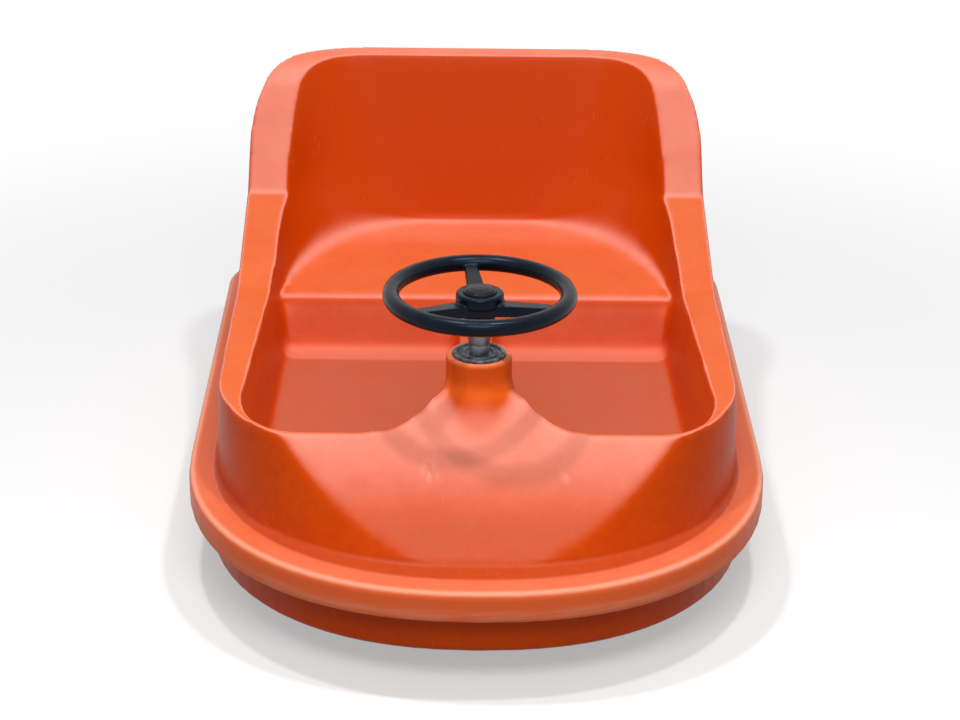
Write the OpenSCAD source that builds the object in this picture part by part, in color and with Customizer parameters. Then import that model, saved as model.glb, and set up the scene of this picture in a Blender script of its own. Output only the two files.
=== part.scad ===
// Children's bumper car: a one-piece moulded tub with a wrap-round bumper, a level handwheel
// on an upright column, one steered front wheel in a fork and two fixed rear wheels.
// X is across the car, Y from the nose (negative) to the tail, Z up from the floor. Millimetres.

/* [Bumper] */
// Overall length over the bumper
car_len = 1164; // [1060:2:1300]
// Overall width over the bumper
car_w = 783; // [720:1:860]
// How far the bumper's nose curve reaches back, from the nose to its widest
nose_run = 416; // [380:2:440]
// Squareness of the nose curve: 2 is an ellipse, more is squarer
nose_power = 2.24; // [2:0.02:2.6]
// Corner radius of the bumper at the tail, seen from above
tail_r = 112; // [90:2:150]
// Height of the bumper's top face above the floor
bumper_top = 150; // [144:1:158]
// Height of the bumper's outer band
bumper_h = 43; // [30:1:50]
// Edge rounding of the bumper band
bumper_round = 7; // [3:1:12]
// Width of the bumper's top face, out from the foot of the wall
bumper_face = 38; // [32:1:44]
// How far the skirt is set in under the band
skirt_in = 22; // [14:1:30]
// How much further in the skirt's lower edge is
skirt_draft = 8; // [2:1:16]
// Thickness of the skirt's hollow wall
skirt_wall = 24; // [16:1:32]
// Gap between the skirt and the floor
clearance = 50; // [35:1:60]

/* [Tub] */
// Height of the backrest's top edge
back_top = 512; // [480:2:540]
// Height of the rim where the backrest's wing ends
wing_low = 348; // [330:2:370]
// Height of the rim where the side begins
side_high = 280; // [276:2:300]
// Height of the rim beside the footwells
side_low = 272; // [266:1:276]
// Height of the rim at the top of the sloping deck
deck_top = 279; // [274:1:286]
// Distance from the tail to the front edge of the level backrest top
top_run = 98; // [90:1:110]
// Rounding of the rim where the wing meets the level top
top_bend = 110; // [60:5:130]
// Distance from the tail to the end of the wing
wing_run = 258; // [240:1:300]
// Distance from the tail to the start of the side
side_run = 485; // [460:1:520]
// Distance from the nose to the lowest part of the rim
arm_run = 336; // [320:1:350]
// Distance from the nose to the top of the sloping deck
deck_run = 200; // [190:1:210]
// Distance from the nose to the foot of the sloping deck
deck_foot = 50; // [46:1:56]
// How much the sides lean in from the bumper to the rim
side_draft = 5; // [2:1:12]
// How much the nose leans back from the bumper to the deck's top
nose_draft = 84; // [70:1:96]
// How much further back the backrest's top is than the tail wall's foot
tail_lean = 15; // [0:1:25]
// Corner radius of the backrest's top, seen from above
top_r = 180; // [140:5:200]

/* [Cockpit] */
// Height of the seat
seat_h = 255; // [240:1:262]
// Distance from the tail to the seat's front edge
seat_run = 444; // [420:1:470]
// Distance from the tail to the back of the seat
seat_back = 132; // [126:1:150]
// How much the backrest leans back, from the seat to its top
back_lean = 69; // [50:1:80]
// Width of the seat's slanting back corners
corner_w = 205; // [180:5:220]
// Length of the seat's slanting back corners
corner_run = 285; // [240:5:300]
// Height of the footwell floor
floor_h = 172; // [168:1:184]
// Thickness of the footwell floor
floor_t = 22; // [14:1:26]
// Half width of the cockpit at the rim, beside the handwheel
rim_half = 314; // [304:1:318]
// Half width of the cockpit at the rim, beside the seat
wing_half = 295; // [286:1:300]
// Half width of the cockpit at the backrest's top
top_half = 296; // [284:1:304]
// Half width of the seat at its front edge
seat_half = 290; // [280:1:292]
// Half width of the footwells at the floor
floor_half = 284; // [268:1:288]
// Distance from the nose to the front edge of the footwells
well_run = 203; // [202:1:212]
// Radius of the footwells' corners beside the column, seen from above
well_r = 104; // [80:2:110]
// Half width of the column's foot between the footwells, at the rim
pier_half = 36; // [30:1:40]
// Width of the ridge between the footwells, at its top
tunnel_w = 46; // [40:2:56]
// Height of the ridge between the footwells
tunnel_h = 216; // [200:1:226]

/* [Steering] */
// Distance from the nose to the steering column
column_run = 271; // [265:1:280]
// Height of the column collar's top
collar_top = 357; // [350:1:364]
// Outer diameter of the moulded collar
collar_d = 86; // [80:1:92]
// Height of the handwheel's rim
wheel_h = 438; // [425:1:460]
// Diameter of the handwheel over its rim
wheel_d = 250; // [220:5:270]
// Diameter of the handwheel's grip
grip_d = 22; // [18:0.5:28]
// Diameter of the handwheel's hub
hub_d = 62; // [56:1:70]
// Diameter of the steering shaft
shaft_d = 26; // [22:1:30]

/* [Wheels] */
// Diameter of the road wheels
road_d = 110; // [96:2:112]
// Width of the road wheels
road_w = 36; // [28:1:40]
// Diameter of the axle bolts
axle_d = 12; // [10:1:14]
// Thickness of the fork and bracket plates
plate_t = 5; // [4:0.5:6]
// Distance from the car's side to the middle of a rear wheel
rear_in = 156.5; // [146.5:1:180.5]
// Distance from the tail to the rear wheels' axle
rear_run = 215; // [200:5:260]

/* [Hidden] */
$fn = 64;
nose_steps = 36;
corner_steps = 10;
run_gap = 0.1;

nose_y = -car_len/2;
tail_y = car_len/2;
half_w = car_w/2;
column_y = nose_y + column_run;
rear_y = tail_y - rear_run;
rear_track = car_w - 2*rear_in;
seat_y = tail_y - seat_run;
ceiling = floor_h - floor_t;
under_band = bumper_top - bumper_h;
skirt_foot = skirt_in + skirt_draft;
wall_in = bumper_face + side_draft;
deck_slope = (deck_top - bumper_top)/(deck_run - deck_foot);
ridge = tunnel_w/2;
cut_over = 20;
road_r = road_d/2;
wheel_side = 8;
half_fork = road_w/2 + wheel_side + plate_t;
fork_top = road_d + 14;

tub_colour = "orangered";
black = [0.06, 0.06, 0.07];
steel = [0.7, 0.7, 0.72];
rubber = [0.1, 0.1, 0.1];
nylon = [0.85, 0.85, 0.82];

// Points along a rounded curve with half axes rx and ry, whose direction turns evenly from
// angle a to angle b. A power of 2 makes an ellipse, a higher one a squarer curve
function bend(cx, cy, rx, ry, a, b, n, power = 2) = [for (i = [0 : n])
    let (t = a + (b - a)*i/n, k = 1/(power - 1),
        u = pow(rx*abs(cos(t)), k), v = pow(ry*abs(sin(t)), k),
        d = pow(pow(u, power) + pow(v, power), 1/power))
    [cx + sign(cos(t))*rx*u/d, cy + sign(sin(t))*ry*v/d]];

function arc(cx, cy, r, a, b, n) = bend(cx, cy, r, r, a, b, n);

// The car's outline from above, set in by so much at the sides, nose and tail. The nose curve
// starts at the shoulder, a distance from the nose, and the tail has two round corners
function outline(side, nose, shoulder, tail, r) = concat(
    bend(0, nose_y + shoulder, half_w - side, shoulder - nose, 180, 360, nose_steps, nose_power),
    arc(half_w - side - r, tail_y - tail - r, r, 0, 90, corner_steps),
    arc(side + r - half_w, tail_y - tail - r, r, 90, 180, corner_steps));

// The outline a constant distance inside the bumper's edge
function inside(inset) = outline(inset, inset, nose_run, inset, tail_r - inset);

function at(points, z) = [for (p = points) [p.x, p.y, z]];

// Points that round the corner b between a and c by the radius r
function rounded(a, b, c, r, n) =
    let (u = (a - b)/norm(a - b), v = (c - b)/norm(c - b), half = acos(u*v)/2,
        m = b + (u + v)/norm(u + v)*r/sin(half), s = b + u*r/tan(half) - m, e = b + v*r/tan(half) - m,
        a0 = atan2(s.y, s.x), turn = (atan2(e.y, e.x) - a0 + 540)%360 - 180)
    [for (i = [0 : n]) m + r*[cos(a0 + turn*i/n), sin(a0 + turn*i/n)]];

// A solid through rings of equally many points, from the lowest to the highest
module loft(rings) {
    n = len(rings[0]);
    m = len(rings);
    polyhedron(
        points = [for (r = rings) each r],
        faces = concat(
            [[for (i = [0 : n - 1]) i]],
            [for (j = [0 : m - 2], i = [0 : n - 1]) [j*n + i, (j + 1)*n + i, (j + 1)*n + (i + 1)%n]],
            [for (j = [0 : m - 2], i = [0 : n - 1]) [j*n + i, (j + 1)*n + (i + 1)%n, j*n + (i + 1)%n]],
            [[for (i = [n - 1 : -1 : 0]) (m - 1)*n + i]]));
}

// The bumper's and skirt's section: inset from the bumper's edge, height
edge = 6;
fillet = 8;
bumper_rows = [[skirt_foot + edge, clearance], [skirt_foot, clearance + edge], [skirt_in, under_band + 1],
    [bumper_round, under_band], [bumper_round*0.3, under_band + bumper_round*0.3],
    [0, under_band + bumper_round], [0, bumper_top - bumper_round],
    [bumper_round*0.3, bumper_top - bumper_round*0.3], [bumper_round, bumper_top],
    [bumper_face - fillet, bumper_top], [bumper_face - fillet*0.3, bumper_top + fillet*0.3]];
// The wall's section: height, then its insets at side and nose, shoulder, inset at tail, corner radius
lean = bumper_face + nose_draft;
shoulder = nose_run - 24;
wall_rows = [
    [bumper_top + fillet, bumper_face, deck_foot + 7, nose_run, bumper_face, tail_r - bumper_face],
    [side_low, wall_in, lean, shoulder, bumper_face - tail_lean*0.3, 120],
    [(wing_low + back_top)/2 - 22, wall_in, lean, shoulder, bumper_face - tail_lean*0.7, 160],
    [back_top + cut_over, wall_in + 4, lean, shoulder, bumper_face - tail_lean, top_r]];

module outer_form() {
    loft(concat([for (row = bumper_rows) at(inside(row[0]), row[1])],
        [for (row = wall_rows) at(outline(row[1], row[2], row[3], row[4], row[5]), row[0])]));
}

// A profile in the YZ plane, drawn right across the car
module across(points) {
    rotate([90, 0, 90]) translate([0, 0, -half_w - 10]) linear_extrude(car_w + 20) polygon(points);
}

// Everything below the rim line, seen from the side
module below_rim() {
    across(concat([[nose_y - 10, 0], [tail_y + 10, 0], [tail_y + 10, back_top]],
        rounded([tail_y, back_top], [tail_y - top_run, back_top], [tail_y - wing_run, wing_low], top_bend, 8),
        [[tail_y - wing_run, wing_low], [tail_y - side_run, side_high],
        [nose_y + arm_run, side_low], [nose_y + deck_run, deck_top],
        [nose_y + deck_foot + fillet, bumper_top + fillet*deck_slope],
        [nose_y + bumper_face + 1, bumper_top + fillet*0.4], [nose_y + bumper_face - fillet, bumper_top + 0.4],
        [nose_y - 10, bumper_top + 0.4]]));
}

// The sloping deck runs on up beside the column, between the two footwells, to a level shoulder
// and flares into the collar: radius, height
collar_foot = 322;
pier_top = collar_foot - 9;
flare_rows = [[collar_d/2 + 3, collar_foot], [50, 313], [56, 303.5], [64, 292.5], [72, 282], [80, 271.5],
    [90, 258], [104, 240]];
module ramp() {
    last = len(flare_rows) - 1;
    flare_r = flare_rows[last][0];
    intersection() {
        union() {
            across([[nose_y + deck_run, ceiling], [column_y, ceiling], [column_y, pier_top],
                [nose_y + deck_run + (pier_top - deck_top)/deck_slope, pier_top],
                [nose_y + deck_run, deck_top]]);
            translate([0, column_y, 0]) rotate_extrude()
                polygon(concat([[0, collar_foot], [0, ceiling], [flare_r, ceiling]],
                    [for (i = [last : -1 : 0]) flare_rows[i]]));
        }
        translate([-pier_half - well_r, nose_y, 0]) cube([2*(pier_half + well_r), column_run, back_top]);
    }
}

// One ring of the seat space: half widths at the front and the back, back edge, and the width,
// length and squareness of the back corners
function cabin(half_f, half_r, back, w, run, power) = concat(
    [[-half_f, seat_y - 12], [half_f, seat_y - 12]],
    bend(half_r - w, tail_y - back - run, w, run, 0, 90, corner_steps, power),
    bend(w - half_r, tail_y - back - run, w, run, 90, 180, corner_steps, power));
// Rows of height, then those of the ring
cabin_rows = [
    [seat_h, seat_half, seat_half - 5, seat_back, corner_w, corner_run, 1.25],
    [seat_h + 3, seat_half + 1, seat_half - 4, seat_back - 1, corner_w, corner_run - 1, 1.4],
    [seat_h + 8, seat_half + 2, seat_half - 3, seat_back - 2, corner_w, corner_run - 3, 1.56],
    [seat_h + 21, wing_half + 1, seat_half - 1, seat_back - 5, corner_w, corner_run - 10, 1.7],
    [wing_low, wing_half + 5, wing_half + 1, seat_back - back_lean*0.33, corner_w - 25, corner_run - 55, 2.1],
    [back_top, wing_half + 5, top_half, seat_back - back_lean, 120, 120, 2],
    [back_top + cut_over, wing_half + 5, top_half + 4, seat_back - back_lean*1.08, 119, 119, 2]];
module seat_space() {
    loft([for (row = cabin_rows)
        at(cabin(row[1], row[2], row[3], row[4], row[5], row[6]), row[0])]);
}

// One ring of a footwell: inner side, outer side at the front and the back, front and back edge,
// radius of the corner by the column, and the long and short radius of the outer front corner
function well(x0, xf, xr, y0, y1, r_in, run, half) = concat(
    arc(x0 + r_in, y0 + r_in, r_in, 180, 270, corner_steps),
    bend(xf - half, y0 + run, half, run, 270, 360, corner_steps),
    arc(xr - 12, y1 - 12, 12, 0, 90, 4),
    arc(x0 + 12, y1 - 12, 12, 90, 180, 4));
// Rows of height, then inner side, outer side front and back, front edge and back edge, both
// measured from the edges at the rim, and the corner radii. The back edge rounds the seat's front
well_rows = [
    [floor_h, pier_half, floor_half - 7, floor_half - 12, 34, -14, well_r - 14, 80, 55],
    [floor_h + 8, pier_half - 4, floor_half + 3, floor_half - 3, 26, -5, well_r - 10, 88, 60],
    [tunnel_h - 4, ridge + 1, rim_half - 18, floor_half + 1, 17, -2, well_r - 6, 101, 68],
    [seat_h - 20, ridge + 3, rim_half - 12, seat_half - 3, 9, 0, well_r - 3, 112, 72],
    [seat_h - 7, ridge + 6, rim_half - 8, seat_half - 1, 5, 4, well_r - 1, 118, 76],
    [seat_h - 1.5, ridge + 8, rim_half - 6, seat_half, 4, 11, well_r, 120, 77],
    [seat_h + 0.5, ridge + 9, rim_half - 5, seat_half + 0.5, 3, 20, well_r, 121, 78],
    [side_low + 4, pier_half, rim_half, wing_half, 0, 20, well_r, 125, 80],
    [back_top, pier_half, rim_half, wing_half, 0, 20, well_r, 125, 80]];
module footwell() {
    loft([for (row = well_rows) at(well(row[1], row[2], row[3], nose_y + well_run + row[4],
        seat_y + row[5], row[6], row[7], row[8]), row[0])]);
}

// The space over the ridge, which has bevelled edges and meets the seat's rounded front
module over_tunnel() {
    bevel = 8;
    side = pier_half + 2;
    intersection() {
        across(concat([[column_y, tunnel_h - bevel]],
            [for (row = well_rows) if (row[0] > tunnel_h - 10) [seat_y + row[5], row[0]]],
            [[column_y, back_top]]));
        translate([0, seat_y + 60, 0]) rotate([90, 0, 0]) linear_extrude(seat_y + 60 - column_y)
            polygon([[-side, tunnel_h - bevel], [-ridge - 1, tunnel_h - bevel], [bevel - ridge, tunnel_h],
                [ridge - bevel, tunnel_h], [ridge + 1, tunnel_h - bevel], [side, tunnel_h - bevel],
                [side, back_top], [-side, back_top]]);
    }
}

// The open bay under the floor, its ceiling lower where the deck comes down to the nose
bay_run = 150;
module underside() {
    intersection() {
        translate([0, 0, -1]) linear_extrude(ceiling + 1)
            polygon(inside(skirt_foot + skirt_wall));
        across([[nose_y, -2], [tail_y, -2], [tail_y, ceiling + 10], [nose_y + bay_run, ceiling + 10],
            [nose_y + bay_run, ceiling], [nose_y + deck_foot, bumper_top - floor_t],
            [nose_y, bumper_top - floor_t]]);
    }
}

seal_seat = 12;
collar_edge = 3;
seal_d = collar_d - 18;
bore_d = shaft_d + 12;
module column_foot() {
    translate([0, column_y, 0]) {
        translate([0, 0, floor_h - 1]) cylinder(d1 = collar_d + 30, d2 = collar_d, h = collar_foot - floor_h + 1);
        translate([0, 0, collar_foot]) cylinder(d = collar_d, h = collar_top - collar_edge - collar_foot);
        translate([0, 0, collar_top - collar_edge])
            cylinder(d1 = collar_d, d2 = collar_d - 2*collar_edge, h = collar_edge);
    }
}

module tub() color(tub_colour) difference() {
    union() {
        difference() {
            union() {
                intersection() {
                    outer_form();
                    below_rim();
                }
                ramp();
            }
            seat_space();
            footwell();
            mirror([1, 0, 0]) footwell();
            over_tunnel();
            underside();
        }
        column_foot();
    }
    translate([0, column_y, 0]) cylinder(d = bore_d, h = collar_top + 1);
    translate([0, column_y, collar_top - seal_seat]) cylinder(d = seal_d, h = seal_seat + 1);
}

// The seal's section from its bore outwards: radius, height over the collar. Two low rings
// stand on it, with a groove between
ring_d = shaft_d + 20;
housing_rows = [[ring_d/2, -seal_seat], [seal_d/2, -seal_seat], [seal_d/2, 1], [seal_d/2 - 1, 2],
    [seal_d/2 - 4.5, 2], [seal_d/2 - 5.5, -0.5], [ring_d/2 + 2, -0.5], [ring_d/2 + 1.2, 1.5], [ring_d/2, 1.5]];
module bearing_housing() color(black) translate([0, column_y, collar_top])
    rotate_extrude() polygon(housing_rows);

ring_rows = [[shaft_d/2 + run_gap, -seal_seat], [ring_d/2, -seal_seat], [ring_d/2, 0.5], [ring_d/2 - 1, 1.5],
    [ring_d/2 - 4, 1.5], [ring_d/2 - 5, -0.5], [shaft_d/2 + run_gap, -0.5]];
module bearing_ring() color(steel) translate([0, column_y, collar_top])
    rotate_extrude() polygon(ring_rows);

// The handwheel's boss reaches down below its rim's middle. The shaft ends against it, in a
// sleeve that widens towards the boss
boss_low = 40;
boss_d = 40;
sleeve_up = 14;
module steering_shaft() color(steel) translate([0, column_y, 0]) {
    boss_z = wheel_h - boss_low;
    translate([0, 0, fork_top]) cylinder(d = shaft_d, h = boss_z - fork_top);
    translate([0, 0, collar_top + sleeve_up])
        cylinder(d1 = shaft_d + 1, d2 = boss_d - 3, h = boss_z - collar_top - sleeve_up);
}

// The hub's section: radius, height over the rim's middle
hub_top = 4;
hub_rows = [[0, -boss_low], [boss_d/2, -boss_low], [boss_d/2, -25], [hub_d/2 - 4, -24], [hub_d/2 - 3, -12],
    [hub_d/2, -10], [hub_d/2, 1], [hub_d/2 - 2, hub_top], [0, hub_top]];
spoke_angles = [96, 216, 336];
spoke_root = hub_d/2 - 9;
// A spoke drops towards the hub and widens there
module spoke() intersection() {
    reach = wheel_d/2 - grip_d/2;
    rotate([90, 0, 0]) translate([0, 0, -hub_d/2]) linear_extrude(hub_d)
        polygon([[spoke_root, -24], [reach, -9], [reach, 2], [spoke_root, -8]]);
    translate([0, 0, -boss_low]) linear_extrude(2*boss_low)
        polygon([[spoke_root, -12], [reach, -8], [reach, 8], [spoke_root, 12]]);
}
module handwheel() color(black) translate([0, column_y, wheel_h]) {
    rotate_extrude() translate([wheel_d/2 - grip_d/2, 0]) circle(d = grip_d);
    rotate_extrude() polygon(hub_rows);
    for (a = spoke_angles) rotate(a) spoke();
}

cap_rows = [[0, 0], [hub_d*0.36, 0], [hub_d*0.35, 2], [hub_d*0.28, 4.5], [hub_d*0.14, 6], [0, 6.4]];
module hub_cap() color(black) translate([0, column_y, wheel_h + hub_top])
    rotate_extrude() polygon(cap_rows);

column_plate_w = 150;
bush_d = 64;
bush_t = 8;
bush_up = 26;
module column_plate() color(steel) translate([0, column_y, ceiling]) difference() {
    union() {
        translate([-column_plate_w/2, -column_plate_w/2, -plate_t])
            cube([column_plate_w, column_plate_w, plate_t]);
        translate([0, 0, -plate_t - bush_t]) cylinder(d = bush_d, h = bush_t + 0.1);
        cylinder(d = bore_d - 0.6, h = bush_up);
    }
    translate([0, 0, -plate_t - bush_t - 1])
        cylinder(d = shaft_d + 2*run_gap, h = plate_t + bush_t + bush_up + 2);
}

cheek_w = 40;
// Two cheeks beside a wheel, from the axle up to a height
module cheeks(top) {
    for (s = [-1, 1]) translate([s*(half_fork - plate_t/2) - plate_t/2, 0, 0]) {
        translate([0, -cheek_w/2, road_r]) cube([plate_t, cheek_w, top - road_r + 0.1]);
        translate([0, 0, road_r]) rotate([0, 90, 0]) cylinder(d = cheek_w, h = plate_t);
    }
}

module axle_hole() {
    translate([-half_fork - 10, 0, road_r]) rotate([0, 90, 0]) cylinder(d = axle_d, h = 2*half_fork + 20);
}

crown_t = 8;
crown_w = 64;
module steering_fork() color(steel) translate([0, column_y, 0]) difference() {
    union() {
        translate([-half_fork, -crown_w/2, fork_top - crown_t]) cube([2*half_fork, crown_w, crown_t]);
        cheeks(fork_top - crown_t);
    }
    axle_hole();
}

bolt_head = 7;
module axle(x, y) color(steel) translate([x - half_fork, y, road_r]) rotate([0, 90, 0]) {
    cylinder(d = axle_d, h = 2*half_fork);
    for (z = [-bolt_head, 2*half_fork])
        translate([0, 0, z]) cylinder(d = axle_d*1.8, h = bolt_head, $fn = 6);
}

tread_t = 16;
module tyre(x, y) color(rubber) translate([x, y, road_r]) rotate([90, 0, 90]) rotate_extrude() polygon([
    [road_r - tread_t, 4 - road_w/2], [road_r - 6, -road_w/2], [road_r - 2, 3 - road_w/2],
    [road_r, 9 - road_w/2], [road_r, road_w/2 - 9], [road_r - 2, road_w/2 - 3],
    [road_r - 6, road_w/2], [road_r - tread_t, road_w/2 - 4]]);

// Half a rim's section, from the axle's bore out to the tyre's bead: radius, distance from the middle
hub_r = 14;
rim_r = road_r - tread_t;
rim_rows = [[axle_d/2 + run_gap, half_fork - plate_t - 1], [hub_r, half_fork - plate_t - 1],
    [hub_r, road_w/2 - 8], [rim_r - 6, road_w/2 - 8], [rim_r - 6, road_w/2 - 3], [rim_r, road_w/2 - 3]];
module rim(x, y) color(nylon) translate([x, y, road_r]) rotate([90, 0, 90]) rotate_extrude()
    polygon(concat([for (i = [0 : len(rim_rows) - 1]) [rim_rows[i][0], -rim_rows[i][1]]],
        [for (i = [len(rim_rows) - 1 : -1 : 0]) rim_rows[i]]));

module front_axle() axle(0, column_y);
module front_tyre() tyre(0, column_y);
module front_rim() rim(0, column_y);

bracket_w = 90;
module rear_bracket(x) color(steel) translate([x, rear_y, 0]) difference() {
    union() {
        translate([-bracket_w/2, -bracket_w/2, ceiling - plate_t]) cube([bracket_w, bracket_w, plate_t]);
        cheeks(ceiling - plate_t);
    }
    axle_hole();
}
module rear_bracket_left() rear_bracket(-rear_track/2);
module rear_bracket_right() rear_bracket(rear_track/2);
module rear_axle_left() axle(-rear_track/2, rear_y);
module rear_axle_right() axle(rear_track/2, rear_y);
module rear_tyre_left() tyre(-rear_track/2, rear_y);
module rear_tyre_right() tyre(rear_track/2, rear_y);
module rear_rim_left() rim(-rear_track/2, rear_y);
module rear_rim_right() rim(rear_track/2, rear_y);

tub();
bearing_housing();
bearing_ring();
steering_shaft();
handwheel();
hub_cap();
column_plate();
steering_fork();
front_axle();
front_tyre();
front_rim();
rear_bracket_left();
rear_bracket_right();
rear_axle_left();
rear_axle_right();
rear_tyre_left();
rear_tyre_right();
rear_rim_left();
rear_rim_right();
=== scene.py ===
"""The looks of a children's bumper car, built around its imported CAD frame.

X is across the car, Y from the nose (negative) to the tail, Z up from the floor. Metres.
"""

import math

import bpy
from mathutils import Matrix, Vector


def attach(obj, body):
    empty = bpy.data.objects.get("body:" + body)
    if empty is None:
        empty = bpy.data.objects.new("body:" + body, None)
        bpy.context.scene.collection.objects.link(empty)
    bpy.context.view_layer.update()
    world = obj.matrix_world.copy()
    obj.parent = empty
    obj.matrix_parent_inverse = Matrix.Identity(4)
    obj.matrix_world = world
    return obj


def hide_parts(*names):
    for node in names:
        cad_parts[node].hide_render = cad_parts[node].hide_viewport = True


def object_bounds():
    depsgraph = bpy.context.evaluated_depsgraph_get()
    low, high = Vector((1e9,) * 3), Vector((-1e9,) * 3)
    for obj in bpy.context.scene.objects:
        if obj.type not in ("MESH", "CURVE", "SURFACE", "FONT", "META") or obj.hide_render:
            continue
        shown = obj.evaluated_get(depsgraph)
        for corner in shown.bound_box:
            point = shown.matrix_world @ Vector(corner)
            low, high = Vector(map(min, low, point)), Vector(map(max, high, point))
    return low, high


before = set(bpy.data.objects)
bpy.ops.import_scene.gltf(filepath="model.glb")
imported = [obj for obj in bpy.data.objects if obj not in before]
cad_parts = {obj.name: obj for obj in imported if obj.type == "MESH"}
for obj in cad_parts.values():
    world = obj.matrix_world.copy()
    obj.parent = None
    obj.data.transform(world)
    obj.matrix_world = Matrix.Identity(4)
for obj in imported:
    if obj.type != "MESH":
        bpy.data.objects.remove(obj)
CAD_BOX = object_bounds()
MM = 0.001

# Places and sizes that the CAD source gives. The ceiling is that of the hollow under the tub
COLUMN_Y = -311 * MM
CEILING = 150 * MM
ROAD_R = 55 * MM
REAR_Y = 367 * MM
REAR_X = 235 * MM
PLATE_T = 5 * MM
HALF_FORK = 31 * MM
FORK_TOP = 124 * MM
SHAFT_R = 13 * MM
AXLE_R = 6 * MM

# Heights on the tub that the CAD source gives: the bumper's band and top, the footwells' floors, the seat
BAND_H = 107 * MM
TOP_H = 150 * MM
FLOOR_H = 172 * MM
SEAT_H = 255 * MM

# Triangles that the two large mouldings may have
TUB_TRIANGLES = 190000
GRIP_TRIANGLES = 90000

# Turns of a piece: from lying along Z to lying along X, and upside down
ALONG_X = (0, math.radians(90), 0)
OVER = (math.radians(180), 0, 0)


# Helpers for meshes


def select_only(*objects):
    bpy.ops.object.select_all(action="DESELECT")
    for o in objects:
        o.select_set(True)
    bpy.context.view_layer.objects.active = objects[0]


def edit_all():
    bpy.ops.object.mode_set(mode="EDIT")
    bpy.ops.mesh.select_all(action="SELECT")


def object_mode():
    bpy.ops.object.mode_set(mode="OBJECT")


def started(name):
    """Names the primitive that was just added."""
    o = bpy.context.object
    o.name = o.data.name = name
    return o


def merged_copy(node_name, name):
    """A copy of a CAD node's mesh, with its loose triangles joined, as an object of its own."""
    o = bpy.data.objects.new(name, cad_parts[node_name].data.copy())
    bpy.context.scene.collection.objects.link(o)
    select_only(o)
    edit_all()
    bpy.ops.mesh.remove_doubles(threshold=0.01 * MM)
    object_mode()
    return o


def modify(o, kind, **settings):
    """Adds a modifier with its settings and applies it."""
    select_only(o)
    m = o.modifiers.new(kind.lower(), kind)
    for key, value in settings.items():
        setattr(m, key, value)
    bpy.ops.object.modifier_apply(modifier=m.name)


def bevelled(o, width):
    modify(o, "BEVEL", width=width, segments=2, limit_method="ANGLE", angle_limit=math.radians(40))


def triangles(o):
    return sum(len(p.vertices) - 2 for p in o.data.polygons)


def rounded(o, voxel):
    """Joins and slightly rounds a solid as a moulding is: remeshed and smoothed. Each second pass
    of the last ones swells it again, so that its edges stay where they are."""
    modify(o, "REMESH", mode="VOXEL", voxel_size=voxel)
    modify(o, "SMOOTH", factor=0.5, iterations=5)
    for factor in (0.5, -0.53) * 3:
        modify(o, "SMOOTH", factor=factor, iterations=2)
    return o


def thinned(o, most):
    """Leaves as many triangles as it may have, the fewest of them where it is flat."""
    if triangles(o) > most:
        modify(o, "DECIMATE", ratio=most / triangles(o))
    select_only(o)
    bpy.ops.object.shade_smooth()


def evened(o, passes, chosen):
    """Smooths only where a test of a point's place and normal holds."""
    for v in o.data.vertices:
        v.select = chosen(v.co, v.normal)
    select_only(o)
    bpy.ops.object.mode_set(mode="EDIT")
    bpy.ops.mesh.select_mode(type="VERT")
    bpy.ops.mesh.vertices_smooth(factor=0.5, repeat=passes)
    object_mode()


def laid(o, place=(0, 0, 0), turn=(0, 0, 0)):
    """Turns a piece and moves it to its place, then keeps that in its mesh."""
    select_only(o)
    o.rotation_euler = turn
    o.location = place
    bpy.ops.object.transform_apply(location=True, rotation=True, scale=True)
    return o


def joined(name, *objects):
    select_only(*objects)
    bpy.ops.object.join()
    return started(name)


def copied(o, name, place=(0, 0, 0), turn=(0, 0, 0)):
    c = bpy.data.objects.new(name, o.data.copy())
    bpy.context.scene.collection.objects.link(c)
    return laid(c, place, turn)


def in_mm(rows):
    """A section's rows in metres, from millimetres."""
    return [(r * MM, z * MM) for r, z in rows]


def turned(name, rows, steps=48):
    """A solid turned on a lathe about Z. rows: radius, height. A circle is extruded from row to
    row. Where the last row is the first one again it is a ring, otherwise its ends are closed."""
    bpy.ops.object.select_all(action="DESELECT")
    radius, low = rows[0]
    fill = "NOTHING" if rows[0] == rows[-1] else "NGON"
    bpy.ops.mesh.primitive_circle_add(vertices=steps, radius=radius, location=(0, 0, low), fill_type=fill)
    o = started(name)
    bpy.ops.object.transform_apply(location=True)
    edit_all()
    for (r0, z0), (r1, z1) in zip(rows, rows[1:]):
        bpy.ops.mesh.extrude_region_move(TRANSFORM_OT_translate={"value": (0, 0, z1 - z0)})
        bpy.ops.transform.resize(value=(r1 / r0, r1 / r0, 1), center_override=(0, 0, z1))
    bpy.ops.mesh.select_all(action="SELECT")
    bpy.ops.mesh.remove_doubles(threshold=0.01 * MM)
    bpy.ops.mesh.normals_make_consistent(inside=False)
    object_mode()
    select_only(o)
    bpy.ops.object.shade_smooth_by_angle(angle=math.radians(35))
    return o


def block(name, size, place, bevel):
    """A box with bevelled edges."""
    bpy.ops.object.select_all(action="DESELECT")
    bpy.ops.mesh.primitive_cube_add(size=1, location=place)
    o = started(name)
    o.scale = size
    bpy.ops.object.transform_apply(location=True, rotation=True, scale=True)
    edit_all()
    bpy.ops.mesh.bevel(offset=bevel, segments=2, affect="EDGES")
    object_mode()
    return o


def hexagon(name, across, height, base):
    """A bolt's head or a nut: a six-sided prism with softened edges, standing on the height base."""
    bpy.ops.object.select_all(action="DESELECT")
    r = across / math.sqrt(3)
    middle = (0, 0, base + height / 2)
    bpy.ops.mesh.primitive_cylinder_add(vertices=6, radius=r, depth=height, location=middle)
    o = started(name)
    bpy.ops.object.transform_apply(location=True)
    modify(o, "BEVEL", width=across * 0.05, segments=2, limit_method="ANGLE")
    return o


# Helpers for materials


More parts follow.
